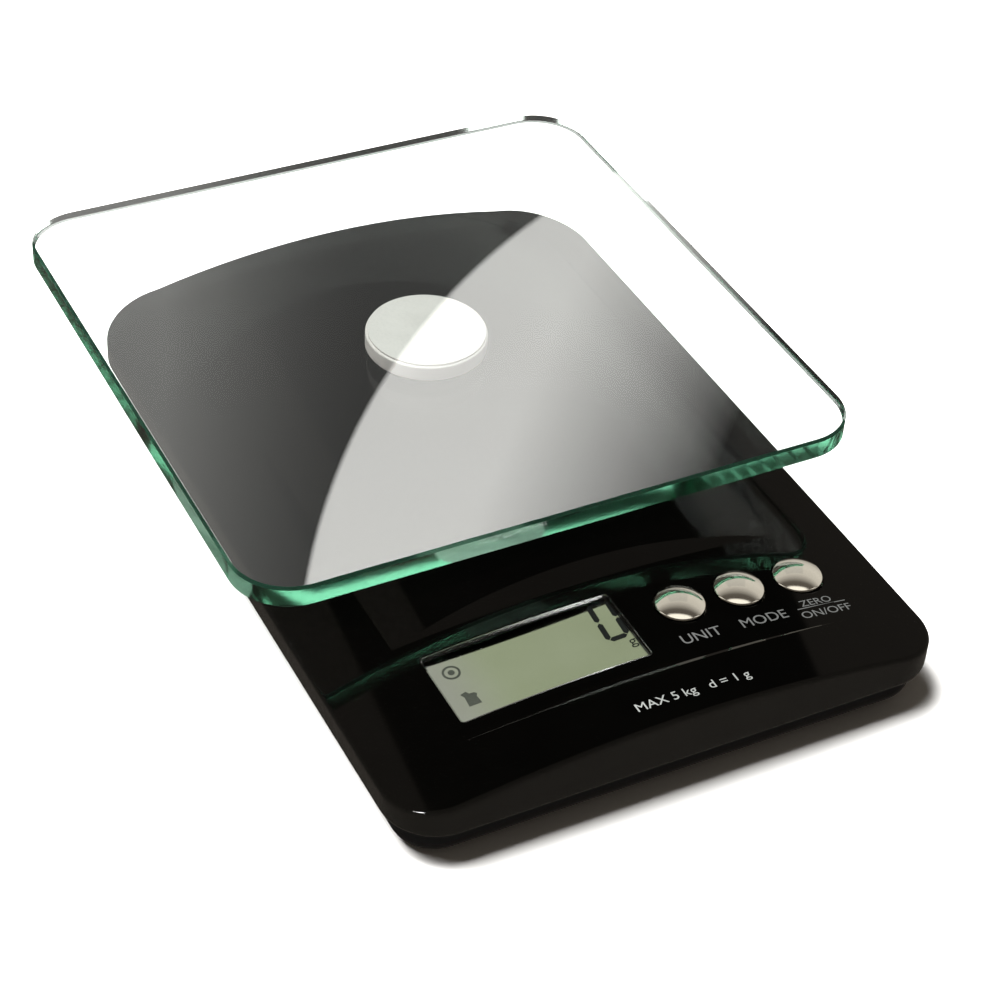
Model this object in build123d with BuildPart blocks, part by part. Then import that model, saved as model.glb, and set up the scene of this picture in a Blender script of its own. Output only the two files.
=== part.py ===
from build123d import *
from math import cos, radians, sin, sqrt, tan
import os

os.makedirs("parts", exist_ok=True)

# Kitchen scale with a square glass platform on a single central load cell.
# Millimetres. The origin is on the table, under the middle of the whole outline.
# X to the user's right, Y away from the user, Z up.

# ---- driving dimensions ---------------------------------------------------------

glass_side = 150.0
glass_thickness = 5.5
glass_corner = 13.5
glass_arris = 0.6
overall_height = 35.6

front_reach = 127.8            # from the glass centre to the front of the body
back_reach = 55.5              # from the glass centre to the back of the body
base_width = 129.8
front_corner = 12.2
back_corner = 17.0

side_height = 15.4             # where the crowned top meets the side walls
crown_height = 21.4            # the plain crown at mid-width
skirt_bottom = 9.2
skirt_round = 1.2
rim_round = 0.9
wall = 2.2

swell_half_width = 47.0        # the lifted parts of the top die out at this width
deck_rise = 2.1                # deck under the glass
deck_foot_from_glass = -82.5
deck_slope = 24.0              # degrees from the crown
border_rise = 0.4              # border in front of the control panel
border_foot_from_glass = -112.7
border_slope = 22.0

shell_inset = 2.6
shell_wall = 2.0
shell_top = 12.4
underside = 1.2
floor_top = 3.2
bottom_round = 3.8

foot_radius = 6.0
foot_thickness = 2.0
foot_side_inset = 18.9
foot_end_inset = 17.5

puck_radius = 14.5
puck_thickness = 3.9
puck_round = 0.5
adhesive_radius = puck_radius - puck_round
adhesive_thickness = 0.5
neck_radius = 10.5
deck_hole_radius = 12.0
platform_travel = 0.6

beam_length = 75.0
beam_side = 12.7
beam_bottom = 6.0
beam_overhang = 12.0           # beyond the glass centre
beam_hole_spacing = 12.0
beam_screw_radius = 2.0
spacer_thickness = 1.0
hole_play = 0.2                # a screw's clearance all round

window_width = 44.7
window_depth = 20.9
window_x = -20.8
window_from_glass = -97.75
lens_thickness = 1.5
lens_sink = 0.12
lens_corner = 1.0
lens_gap = 0.1                 # all round, in its pocket
lens_chamfer = 0.25
ledge = 0.4

button_radius = 5.6
button_hole_radius = 5.95
button_dome = 1.7
button_rim = 0.5               # the dome's rim above the panel
button_names = ["unit", "mode", "zero"]
button_xs = [14.4, 29.3, 44.6]
button_from_glass = -96.7

board_bottom = 10.0
board_thickness = 1.2
board_left, board_right = -50.0, 52.0
board_front, board_back = -91.5, -51.0

cell_radius = 5.25
cell_length = 44.5
cell_spacing = 10.9
bay_x = 34.0
bay_width = 23.0
bay_front, bay_back = -18.0, 35.0
latch_bay_back = 41.3
bay_ceiling = 14.3
bay_wall = 2.0
bay_roof = 1.2
door_thickness = 1.6
door_gap = 0.3
door_headroom = 0.1

# ---- derived positions ----------------------------------------------------------

total_length = front_reach + glass_side / 2
front_y = -total_length / 2
glass_y = front_y + front_reach
back_y = glass_y + back_reach
deck_foot_y = glass_y + deck_foot_from_glass
border_foot_y = glass_y + border_foot_from_glass
window_y = glass_y + window_from_glass
button_y = glass_y + button_from_glass

half_width = base_width / 2
crown_drop = crown_height - side_height
crown_radius = (half_width**2 + crown_drop**2) / (2 * crown_drop)

glass_bottom = overall_height - glass_thickness
puck_top = glass_bottom - adhesive_thickness
puck_bottom = puck_top - puck_thickness
beam_top = beam_bottom + beam_side
board_top = board_bottom + board_thickness

margin = 5.0                   # how far cutting solids reach past the body


def crown(x):
    """Height of the plain crown at x."""
    return crown_height - crown_radius + sqrt(crown_radius**2 - x**2)


def save(part, name):
    """Label a finished piece and write it."""
    part.label = name
    export_step(part, f"parts/{name}.step")


def cross_plane(y):
    """Plane across the body at y: its own X is the body's X, its own Y is up."""
    return Plane(origin=(0, y, 0), x_dir=(1, 0, 0), z_dir=(0, -1, 0))


def side_plane(x):
    """Plane along the body at x: its own X is the body's Y, its own Y is up."""
    return Plane(origin=(x, 0, 0), x_dir=(0, 1, 0), z_dir=(1, 0, 0))


def draw_outline(sketch, inset):
    """Plan outline of the body, drawn this far inside the cover's edge."""
    with Locations((0, (front_y + back_y) / 2)):
        Rectangle(base_width - 2 * inset, back_y - front_y - 2 * inset)
    fillet(sketch.vertices().sort_by(Axis.Y)[:2], front_corner - inset)
    fillet(sketch.vertices().sort_by(Axis.Y)[-2:], back_corner - inset)


def arch_section(y, half, end_height, middle_height, foot_height):
    """Section across the body at y: straight bottom and sides, one arc on top."""
    with BuildSketch(cross_plane(y)) as section:
        with BuildLine():
            arch = ThreePointArc((-half, end_height), (0, middle_height), (half, end_height))
            Polyline(arch @ 1, (half, foot_height), (-half, foot_height), arch @ 0)
        make_face()
    return section.sketch


# ---- forms shared by the cover and the window -----------------------------------

def crown_block(drop):
    """Everything under the plain crown lowered by drop."""
    reach = half_width + margin
    end_height = crown(reach) - drop
    section = arch_section(front_y - margin, reach, end_height, crown(0) - drop, -margin)
    with BuildPart() as block:
        extrude(section, amount=back_y - front_y + 2 * margin, dir=(0, 1, 0))
    return block.part


def swell(rise, slope, foot_y, far_y, drop):
    """Lifted part of the top: a tighter crown cut off by a shallow ramp.

    The ramp starts from a straight line across the panel, so its upper edge is
    a crescent that dies out at both ends."""
    toward = 1 if far_y > foot_y else -1
    run = abs(far_y - foot_y)
    reach = half_width + margin
    end_height = crown(swell_half_width) - drop
    top = crown(0) - drop
    lifted_section = arch_section(foot_y, swell_half_width, end_height, top + rise, end_height - 1)
    ramp_section = arch_section(foot_y, reach, crown(reach) - drop, top, -run)
    ramp_angle = radians(slope)
    ramp_dir = (0, toward * cos(ramp_angle), sin(ramp_angle))
    with BuildPart() as lifted:
        extrude(lifted_section, amount=run, dir=(0, toward, 0))
        extrude(ramp_section, amount=run / cos(ramp_angle), dir=ramp_dir, mode=Mode.INTERSECT)
    return lifted.part


def body_form(inset, bottom):
    """The body's outer shape, drawn inset all round and lowered as much."""
    block = crown_block(inset)
    deck = swell(deck_rise, deck_slope, deck_foot_y + inset / 4, back_y + margin, inset)
    border = swell(border_rise, border_slope, border_foot_y - inset / 4, front_y - margin, inset)
    with BuildPart() as form:
        add(block)
        add(deck)
        add(border)
        with BuildSketch(Plane.XY.offset(bottom)) as plan:
            draw_outline(plan, inset)
        extrude(amount=overall_height, mode=Mode.INTERSECT)
    return form.part


outer_form = body_form(0, skirt_bottom)
inner_form = body_form(wall, skirt_bottom - margin)
middle_form = body_form(wall / 2, 0)

# ---- places of the fasteners ----------------------------------------------------

screw_side = 56.0
cover_screw_places = [(side * screw_side, y) for y in (-88.5, -22.0, 46.0) for side in (-1, 1)]
cover_post_radius = 3.5
cover_post_bottom = 9.1
cover_pilot_radius = 1.3
cover_pilot_depth = 4.4

board_screw_places = [(x, y) for x in (-47, 49.6) for y in (-88.5, -53.8)]
board_post_radius = 2.4
board_pilot_radius = 0.95
board_pilot_depth = 4.0

# ---- top cover ------------------------------------------------------------------

with BuildPart() as cover_posts:
    with BuildSketch(Plane.XY.offset(cover_post_bottom)):
        with Locations(*cover_screw_places):
            Circle(cover_post_radius)
    extrude(amount=overall_height)
    with BuildSketch(Plane.XY.offset(board_top)):
        with Locations(*board_screw_places):
            Circle(board_post_radius)
    extrude(amount=overall_height)
    add(middle_form, mode=Mode.INTERSECT)

pocket_floor = crown_block(lens_thickness + lens_sink)
with BuildPart() as window_pocket:
    with BuildSketch(Plane.XY.offset(board_top)) as pocket_plan:
        with Locations((window_x, window_y)):
            RectangleRounded(
                window_width + 2 * lens_gap, window_depth + 2 * lens_gap, lens_corner + lens_gap
            )
    extrude(amount=overall_height)
    add(pocket_floor, mode=Mode.SUBTRACT)

with BuildPart() as top_cover:
    add(outer_form)
    walls = top_cover.faces().filter_by(lambda face: abs(face.normal_at().Z) < 0.01)
    rim = walls.edges().filter_by(lambda edge: edge.center().Z > side_height - 0.5)
    fillet(rim, rim_round)
    fillet(top_cover.edges().group_by(Axis.Z)[0], skirt_round)
    add(inner_form, mode=Mode.SUBTRACT)
    add(cover_posts.part)
    with Locations(*[(x, y, cover_post_bottom) for x, y in cover_screw_places]):
        Cylinder(
            cover_pilot_radius, cover_pilot_depth, mode=Mode.SUBTRACT,
            align=(Align.CENTER, Align.CENTER, Align.MIN),
        )
    with Locations(*[(x, y, board_top) for x, y in board_screw_places]):
        Cylinder(
            board_pilot_radius, board_pilot_depth, mode=Mode.SUBTRACT,
            align=(Align.CENTER, Align.CENTER, Align.MIN),
        )
    # window pocket with a ledge, button holes and the hole for the hub's neck
    add(window_pocket.part, mode=Mode.SUBTRACT)
    with BuildSketch(Plane.XY.offset(board_top)):
        with Locations((window_x, window_y)):
            RectangleRounded(window_width - 2 * ledge, window_depth - 2 * ledge, lens_corner - ledge)
        with Locations(*[(x, button_y) for x in button_xs]):
            Circle(button_hole_radius)
        with Locations((0, glass_y)):
            Circle(deck_hole_radius)
    extrude(amount=overall_height, mode=Mode.SUBTRACT)
save(top_cover.part, "top_cover")

# ---- display window -------------------------------------------------------------

lens_roof = crown_block(lens_sink)
with BuildPart() as display_window:
    with BuildSketch(Plane.XY.offset(board_top)):
        with Locations((window_x, window_y)):
            RectangleRounded(window_width, window_depth, lens_corner)
    extrude(amount=overall_height)
    add(lens_roof, mode=Mode.INTERSECT)
    add(pocket_floor, mode=Mode.SUBTRACT)
    lens_face = display_window.faces().filter_by(lambda face: face.normal_at().Z > 0.5)
    chamfer(lens_face.edges(), lens_chamfer)
save(display_window.part, "display_window")

# ---- bottom shell ---------------------------------------------------------------

foot_x = half_width - foot_side_inset
foot_places = {
    "front_left": (-foot_x, front_y + foot_end_inset),
    "front_right": (foot_x, front_y + foot_end_inset),
    "back_left": (-foot_x, back_y - foot_end_inset),
    "back_right": (foot_x, back_y - foot_end_inset),
}

beam_free_end = glass_y + beam_overhang
beam_fixed_end = beam_free_end - beam_length
beam_middle = (beam_free_end + beam_fixed_end) / 2
fixed_hole_ys = [beam_fixed_end + 5.0, beam_fixed_end + 5.0 + beam_hole_spacing]
free_hole_ys = [glass_y - beam_hole_spacing / 2, glass_y + beam_hole_spacing / 2]

pad_length = 21.5
pad_border = 1.0
pad_y = beam_fixed_end + pad_length / 2
pad_top = beam_bottom - spacer_thickness
stop_radius = 4.5
stop_top = beam_bottom - platform_travel - 0.1

fixed_head_radius = 3.6
fixed_head_height = 1.8
fixed_head_bottom = 1.4
fixed_seat = 3.2               # where the heads of the load cell's screws bear

door_front = bay_front - 0.7
door_back = latch_bay_back - door_gap
door_width = bay_width + 2.0
tab_xs = [bay_x - 9.8, bay_x + 9.8]
tab_width = 3.0
tab_play = 0.5
tab_slot_height = 3.6
latch_width = 8.0
latch_notch_depth = 1.2
latch_notch_height = 2.3

screw_boss_radius = 3.9
screw_boss_top = 9.0
screw_head_radius = 2.5
screw_head_height = 1.8
screw_head_bottom = 2.6
screw_shank_radius = 1.25
screw_length = 10.6
slot_length, slot_width, slot_depth = 2.6, 0.6, 1.0
head_round = 0.6               # on the outer edge of every screw head

with BuildPart() as bottom_shell:
    with BuildSketch(Plane.XY.offset(underside)) as shell_plan:
        draw_outline(shell_plan, shell_inset)
    extrude(amount=shell_top - underside)
    fillet(bottom_shell.edges().group_by(Axis.Z)[0], bottom_round)
    with BuildSketch(Plane.XY.offset(floor_top)) as hollow_plan:
        draw_outline(hollow_plan, shell_inset + shell_wall)
    extrude(amount=shell_top, mode=Mode.SUBTRACT)

    # bosses for the cover screws, load cell pad and overload stop
    with BuildSketch(Plane.XY.offset(floor_top)):
        with Locations(*cover_screw_places):
            Circle(screw_boss_radius)
    extrude(amount=screw_boss_top - floor_top)
    with BuildSketch(Plane.XY.offset(floor_top)):
        with Locations((0, pad_y)):
            RectangleRounded(beam_side + 6 * pad_border, pad_length + 2 * pad_border, 2 * pad_border)
    extrude(amount=pad_top - floor_top)
    with BuildSketch(Plane.XY.offset(floor_top)):
        with Locations((0, glass_y)):
            Circle(stop_radius)
    extrude(amount=stop_top - floor_top)

    # battery bay: a box open downwards, with a partition before the latch
    with BuildSketch(Plane.XY.offset(underside + door_thickness + door_headroom)):
        with Locations((bay_x, (bay_front + latch_bay_back) / 2)):
            Rectangle(bay_width + 2 * bay_wall, latch_bay_back - bay_front + 2 * bay_wall)
    extrude(amount=bay_ceiling + bay_roof - underside - door_thickness - door_headroom)
    for y_low, y_high in [(bay_front, bay_back), (bay_back + bay_wall, latch_bay_back)]:
        with BuildSketch(Plane.XY.offset(underside)):
            with Locations((bay_x, (y_low + y_high) / 2)):
                Rectangle(bay_width, y_high - y_low)
        extrude(amount=bay_ceiling - underside, mode=Mode.SUBTRACT)
    with BuildSketch(Plane.XY.offset(underside)):
        with Locations((bay_x, (door_front + door_back) / 2)):
            Rectangle(door_width + 2 * door_gap, door_back - door_front + 2 * door_gap)
    extrude(amount=door_thickness + door_headroom, mode=Mode.SUBTRACT)

    # slots for the door's tabs and the notch for its latch
    with BuildSketch(Plane.XY.offset(underside + door_thickness)):
        with Locations(*[(x, bay_front) for x in tab_xs]):
            Rectangle(tab_width + 2 * tab_play, 2 * bay_wall + 2 * door_headroom)
    extrude(amount=tab_slot_height, mode=Mode.SUBTRACT)
    with BuildSketch(Plane.XY.offset(floor_top)):
        with Locations((bay_x, latch_bay_back + latch_notch_depth / 2)):
            Rectangle(latch_width + 2 * tab_play, latch_notch_depth)
    extrude(amount=latch_notch_height, mode=Mode.SUBTRACT)

    # counterbored holes for the cover screws and the load cell screws
    with Locations(*[(x, y, underside) for x, y in cover_screw_places]):
        Cylinder(
            screw_shank_radius + hole_play, overall_height, mode=Mode.SUBTRACT,
            align=(Align.CENTER, Align.CENTER, Align.MIN),
        )
        Cylinder(
            screw_head_radius + hole_play, screw_head_bottom + screw_head_height - underside,
            mode=Mode.SUBTRACT,
            align=(Align.CENTER, Align.CENTER, Align.MIN),
        )
    with Locations(*[(0, y, underside) for y in fixed_hole_ys]):
        Cylinder(
            beam_screw_radius + hole_play, overall_height / 2 - underside, mode=Mode.SUBTRACT,
            align=(Align.CENTER, Align.CENTER, Align.MIN),
        )
        Cylinder(
            fixed_head_radius + hole_play, fixed_seat - underside, mode=Mode.SUBTRACT,
            align=(Align.CENTER, Align.CENTER, Align.MIN),
        )

    # shallow pockets for the feet
    with Locations(*[(x, y, underside) for x, y in foot_places.values()]):
        Cylinder(
            foot_radius + 0.1, foot_thickness - underside, mode=Mode.SUBTRACT,
            align=(Align.CENTER, Align.CENTER, Align.MIN),
        )
save(bottom_shell.part, "bottom_shell")

# ---- rubber feet ----------------------------------------------------------------

for place, (x, y) in foot_places.items():
    with BuildPart() as foot:
        with BuildSketch():
            with Locations((x, y)):
                Circle(foot_radius)
        extrude(amount=foot_thickness)
        fillet(foot.edges().group_by(Axis.Z)[0], 0.5)
    save(foot.part, f"foot_{place}")

# ---- cover screws ---------------------------------------------------------------

with BuildPart() as cover_screws:
    with BuildSketch(Plane.XY.offset(screw_head_bottom)):
        with Locations(*cover_screw_places):
            Circle(screw_head_radius)
    extrude(amount=screw_head_height)
    with BuildSketch(Plane.XY.offset(screw_head_bottom)):
        with Locations(*cover_screw_places):
            Circle(screw_shank_radius)
    extrude(amount=screw_length)
    fillet(cover_screws.edges().group_by(Axis.Z)[0], head_round)
    with BuildSketch(Plane.XY.offset(screw_head_bottom)):
        with Locations(*cover_screw_places):
            Rectangle(slot_length, slot_width)
            Rectangle(slot_width, slot_length)
    extrude(amount=slot_depth, mode=Mode.SUBTRACT)
save(cover_screws.part, "cover_screws")

# ---- load cell and its mounting -------------------------------------------------

web_spacing = 14.0             # between the two round cut-outs
cutout_radius = 4.9
cutout_slot = 4.0
fixed_screw_length = 13.6
hex_radius, hex_depth = 1.5, 1.2

with BuildPart() as load_cell:
    with BuildSketch(side_plane(-beam_side / 2)):
        with Locations((beam_middle, beam_bottom + beam_side / 2)):
            RectangleRounded(beam_length, beam_side, 0.4)
            # two round cut-outs joined by a slot leave the thin bending webs
            with Locations((-web_spacing / 2, 0), (web_spacing / 2, 0)):
                Circle(cutout_radius, mode=Mode.SUBTRACT)
            Rectangle(web_spacing, cutout_slot, mode=Mode.SUBTRACT)
    extrude(amount=beam_side)
    with Locations(*[(0, y, beam_bottom) for y in fixed_hole_ys + free_hole_ys]):
        Cylinder(
            beam_screw_radius + 0.05, beam_side, mode=Mode.SUBTRACT,
            align=(Align.CENTER, Align.CENTER, Align.MIN),
        )
save(load_cell.part, "load_cell")

gauge_length = 26.0
gauge_thickness = 1.8
with BuildPart() as strain_gauge_covers:
    for height in (beam_top, beam_bottom - gauge_thickness):
        with BuildSketch(Plane.XY.offset(height)):
            with Locations((0, beam_middle)):
                RectangleRounded(beam_side - 2.4, gauge_length, 1.5)
        extrude(amount=gauge_thickness)
    fillet(strain_gauge_covers.edges().group_by(Axis.Z)[-1], 0.6)
save(strain_gauge_covers.part, "strain_gauge_covers")

with BuildPart() as load_cell_spacer:
    with BuildSketch(Plane.XY.offset(pad_top)):
        with Locations((0, pad_y)):
            RectangleRounded(beam_side, pad_length, 0.8)
        with Locations(*[(0, y) for y in fixed_hole_ys]):
            Circle(beam_screw_radius + hole_play, mode=Mode.SUBTRACT)
    extrude(amount=spacer_thickness)
save(load_cell_spacer.part, "load_cell_spacer")

with BuildPart() as load_cell_screws:
    with Locations(*[(0, y, fixed_head_bottom) for y in fixed_hole_ys]):
        Cylinder(
            fixed_head_radius, fixed_head_height,
            align=(Align.CENTER, Align.CENTER, Align.MIN),
        )
        Cylinder(
            beam_screw_radius, fixed_screw_length,
            align=(Align.CENTER, Align.CENTER, Align.MIN),
        )
    fillet(load_cell_screws.edges().group_by(Axis.Z)[0], head_round)
    with BuildSketch(Plane.XY.offset(fixed_head_bottom)):
        with Locations(*[(0, y) for y in fixed_hole_ys]):
            RegularPolygon(hex_radius, 6)
    extrude(amount=hex_depth, mode=Mode.SUBTRACT)
save(load_cell_screws.part, "load_cell_screws")

# ---- platform: hub, puck, adhesive and glass ------------------------------------

hub_foot_thickness = 1.5
hub_screw_head_radius = 3.4
hub_screw_head_height = 2.2
hub_screw_seat = beam_top + 2.2
hub_screw_length = 9.0
pin_radius = 2.0
pin_length = 3.0
pin_xs = [-6.6, 6.6]

with BuildPart() as platform_hub:
    with BuildSketch(Plane.XY.offset(beam_top)):
        with Locations((0, glass_y)):
            RectangleRounded(beam_side + 4, 2 * beam_overhang, 2)
    extrude(amount=hub_foot_thickness)
    with BuildSketch(Plane.XY.offset(beam_top + hub_foot_thickness)):
        with Locations((0, glass_y)):
            Circle(neck_radius)
    extrude(amount=puck_bottom - beam_top - hub_foot_thickness)
    with Locations(*[(0, y, beam_top) for y in free_hole_ys]):
        Cylinder(
            beam_screw_radius + hole_play, puck_bottom - beam_top, mode=Mode.SUBTRACT,
            align=(Align.CENTER, Align.CENTER, Align.MIN),
        )
    with Locations(*[(0, y, hub_screw_seat) for y in free_hole_ys]):
        Cylinder(
            hub_screw_head_radius + hole_play, puck_bottom - beam_top, mode=Mode.SUBTRACT,
            align=(Align.CENTER, Align.CENTER, Align.MIN),
        )
    with Locations(*[(x, glass_y, puck_bottom - pin_length - hole_play) for x in pin_xs]):
        Cylinder(
            pin_radius + 0.05, pin_length + hole_play, mode=Mode.SUBTRACT,
            align=(Align.CENTER, Align.CENTER, Align.MIN),
        )
save(platform_hub.part, "platform_hub")

with BuildPart() as hub_screws:
    with Locations(*[(0, y, hub_screw_seat) for y in free_hole_ys]):
        Cylinder(
            hub_screw_head_radius, hub_screw_head_height,
            align=(Align.CENTER, Align.CENTER, Align.MIN),
        )
        Cylinder(
            beam_screw_radius, hub_screw_length,
            align=(Align.CENTER, Align.CENTER, Align.MAX),
        )
    fillet(hub_screws.edges().filter_by(GeomType.CIRCLE).group_by(Axis.Z)[-1], head_round)
save(hub_screws.part, "hub_screws")

with BuildPart() as platform_puck:
    with BuildSketch(Plane.XY.offset(puck_bottom)):
        with Locations((0, glass_y)):
            Circle(puck_radius)
    extrude(amount=puck_thickness)
    fillet(platform_puck.edges().filter_by(GeomType.CIRCLE), puck_round)
    with Locations(*[(x, glass_y, puck_bottom) for x in pin_xs]):
        Cylinder(pin_radius, pin_length, align=(Align.CENTER, Align.CENTER, Align.MAX))
save(platform_puck.part, "platform_puck")

with BuildPart() as glass_adhesive:
    with BuildSketch(Plane.XY.offset(puck_top)):
        with Locations((0, glass_y)):
            Circle(adhesive_radius)
    extrude(amount=adhesive_thickness)
save(glass_adhesive.part, "glass_adhesive")

with BuildPart() as glass_plate:
    with BuildSketch(Plane.XY.offset(glass_bottom)):
        with Locations((0, glass_y)):
            RectangleRounded(glass_side, glass_side, glass_corner)
    extrude(amount=glass_thickness)
    chamfer(glass_plate.edges().group_by(Axis.Z)[0], glass_arris)
    chamfer(glass_plate.edges().group_by(Axis.Z)[-1], glass_arris)
save(glass_plate.part, "glass_plate")

# ---- main board -----------------------------------------------------------------

board_screw_radius = 0.9
board_screw_length = 4.9
board_head_radius = 1.9
board_head_height = 1.3

with BuildPart() as main_board:
    with BuildSketch(Plane.XY.offset(board_bottom)):
        with Locations(((board_left + board_right) / 2, (board_front + board_back) / 2)):
            RectangleRounded(board_right - board_left, board_back - board_front, 1.0)
        with Locations(*board_screw_places):
            Circle(board_screw_radius + hole_play, mode=Mode.SUBTRACT)
    extrude(amount=board_thickness)
save(main_board.part, "main_board")

with BuildPart() as board_screws:
    with Locations(*[(x, y, board_bottom) for x, y in board_screw_places]):
        Cylinder(
            board_head_radius, board_head_height,
            align=(Align.CENTER, Align.CENTER, Align.MAX),
        )
        Cylinder(
            board_screw_radius, board_screw_length,
            align=(Align.CENTER, Align.CENTER, Align.MIN),
        )
save(board_screws.part, "board_screws")

# black epoxy over the chip, under the board
blob_y = -70.0
blob_radius = 7.0
blob_height = 1.8
with BuildPart() as chip_blob:
    with BuildSketch(cross_plane(blob_y)):
        with BuildLine():
            dome = ThreePointArc(
                (0, board_bottom - blob_height),
                (blob_radius * 0.6, board_bottom - blob_height * 0.8),
                (blob_radius, board_bottom),
            )
            Polyline(dome @ 1, (0, board_bottom), dome @ 0)
        make_face()
    revolve(axis=Axis((0, blob_y, 0), (0, 0, 1)))
save(chip_blob.part, "chip_blob")

# small parts under the board: length, width, height and place of each
components = [
    (3.2, 1.6, 1.0, -30, -66), (3.2, 1.6, 1.0, -24, -66), (2.0, 1.25, 0.8, -18, -78),
    (2.0, 1.25, 0.8, 14, -78), (2.0, 1.25, 0.8, 20, -70), (6.0, 2.2, 2.4, 24, -60),
    (4.0, 4.0, 1.5, 34, -72), (3.2, 1.6, 1.0, 40, -62), (7.0, 3.0, 2.6, -38, -80),
]
with BuildPart() as board_components:
    for length, width, height, x, y in components:
        with BuildSketch(Plane.XY.offset(board_bottom - height)):
            with Locations((x, y)):
                Rectangle(length, width)
        extrude(amount=height)
save(board_components.part, "board_components")

# ---- display --------------------------------------------------------------------

tilt = (crown(window_x - 1) - crown(window_x + 1)) / 2
display_plane = Plane(
    origin=(window_x, window_y, crown(window_x)),
    x_dir=(1, 0, -tilt),
    z_dir=(tilt, 0, 1),
)
lcd_depth_below_panel = 3.2
lcd_width, lcd_height, lcd_thickness = 46.5, 23.5, 2.0
lcd_bottom_plane = display_plane.offset(-lcd_depth_below_panel - lcd_thickness)

with BuildPart() as lcd_glass:
    with BuildSketch(lcd_bottom_plane):
        Rectangle(lcd_width, lcd_height)
    extrude(amount=lcd_thickness)
save(lcd_glass.part, "lcd_glass")

holder_wall = 1.2
holder_gap = 0.1
pin_count = 16
pin_row_length = lcd_width - 6.0
pin_row_y = window_y + lcd_height / 2 - 2 * holder_wall
with BuildPart() as lcd_space:
    with BuildSketch(lcd_bottom_plane):
        Rectangle(lcd_width + 2 * holder_gap, lcd_height + 2 * holder_gap)
    extrude(amount=overall_height)
with BuildPart() as holder_limit:
    with BuildSketch(display_plane.offset(-lcd_depth_below_panel)):
        Rectangle(2 * lcd_width, 2 * lcd_height)
    extrude(amount=-overall_height)
with BuildPart() as lcd_holder:
    with BuildSketch(Plane.XY.offset(board_top)):
        with Locations((window_x, window_y)):
            Rectangle(lcd_width + 2 * holder_wall, lcd_height + 2 * holder_wall)
            Rectangle(lcd_width - 2 * holder_wall, lcd_height - 2 * holder_wall, mode=Mode.SUBTRACT)
    extrude(amount=overall_height)
    add(holder_limit.part, mode=Mode.INTERSECT)
    add(lcd_space.part, mode=Mode.SUBTRACT)
save(lcd_holder.part, "lcd_holder")

with BuildPart() as lcd_floor:
    with BuildSketch(lcd_bottom_plane):
        Rectangle(2 * lcd_width, 2 * lcd_height)
    extrude(amount=-overall_height)
with BuildPart() as lcd_pins:
    with BuildSketch(Plane.XY.offset(board_top)):
        with Locations((window_x, pin_row_y)):
            with GridLocations(pin_row_length / (pin_count - 1), 1, pin_count, 1):
                Rectangle(0.5, 0.3)
    extrude(amount=overall_height)
    add(lcd_floor.part, mode=Mode.INTERSECT)
save(lcd_pins.part, "lcd_pins")

# ---- buttons and their switches -------------------------------------------------

housing_side = 6.0
housing_height = 3.5
housing_corner = 0.4
chamber_radius = 2.3
chamber_floor = 1.0            # above the board
chamber_height = 2.0
plunger_radius = 1.65
plunger_tip = 4.8              # above the board
collar_radius = 2.1
collar_height = 0.9
collar_bottom = 1.8            # above the board
flange_radius = 6.6
flange_thickness = 0.8
flange_gap = 0.3               # under the panel's inside
cup_wall = 0.9
crown_wall = 0.6               # the cup's roof at its rim
crown_wall_middle = 0.2        # and at its stem, under the dome's rim
cap_round = 0.5

for name, x in zip(button_names, button_xs):
    with BuildPart() as tact_switch:
        with BuildSketch(Plane.XY.offset(board_top)):
            with Locations((x, button_y)):
                Rectangle(housing_side, housing_side)
        extrude(amount=housing_height)
        chamfer(tact_switch.edges().filter_by(Axis.Z), housing_corner)
        with Locations((x, button_y, board_top + chamber_floor)):
            Cylinder(
                chamber_radius, chamber_height, mode=Mode.SUBTRACT,
                align=(Align.CENTER, Align.CENTER, Align.MIN),
            )
            Cylinder(
                plunger_radius + 0.05, housing_height, mode=Mode.SUBTRACT,
                align=(Align.CENTER, Align.CENTER, Align.MIN),
            )
    save(tact_switch.part, f"tact_switch_{name}")

    with BuildPart() as plunger:
        with Locations((x, button_y, board_top + collar_bottom)):
            Cylinder(
                collar_radius, collar_height,
                align=(Align.CENTER, Align.CENTER, Align.MIN),
            )
            Cylinder(
                plunger_radius, plunger_tip - collar_bottom,
                align=(Align.CENTER, Align.CENTER, Align.MIN),
            )
    save(plunger.part, f"switch_plunger_{name}")

    rim_height = crown(x) + button_rim
    flange_top = crown(x + flange_radius) - wall - flange_gap
    flange_bottom = flange_top - flange_thickness
    sphere_radius = (button_radius**2 + button_dome**2) / (2 * button_dome)
    stem_bottom = board_top + plunger_tip
    with BuildPart() as button_cap:
        # section of the turned cap: dome, straight side, retaining flange, hollow, stem
        with BuildSketch(cross_plane(button_y)) as cap_section:
            with BuildLine():
                dome_mid = 0.5 * button_radius / sphere_radius
                dome = ThreePointArc(
                    (x, rim_height + button_dome),
                    (
                        x + sphere_radius * sin(dome_mid),
                        rim_height + button_dome - sphere_radius * (1 - cos(dome_mid)),
                    ),
                    (x + button_radius, rim_height),
                )
                Polyline(
                    dome @ 1,
                    (x + button_radius, flange_top),
                    (x + flange_radius, flange_top),
                    (x + flange_radius, flange_bottom),
                    (x + button_radius - cup_wall, flange_bottom),
                    (x + button_radius - cup_wall, rim_height - crown_wall),
                    (x + plunger_radius, rim_height - crown_wall_middle),
                    (x + plunger_radius, stem_bottom),
                    (x, stem_bottom),
                    dome @ 0,
                )
            make_face()
        revolve(axis=Axis((x, button_y, 0), (0, 0, 1)))
        rim_edge = button_cap.edges().filter_by(
            lambda edge: abs(edge.center().Z - rim_height) < 0.01 and edge.length > 30
        )
        fillet(rim_edge, cap_round)
    save(button_cap.part, f"button_cap_{name}")

# ---- batteries and their contacts -----------------------------------------------

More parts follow.
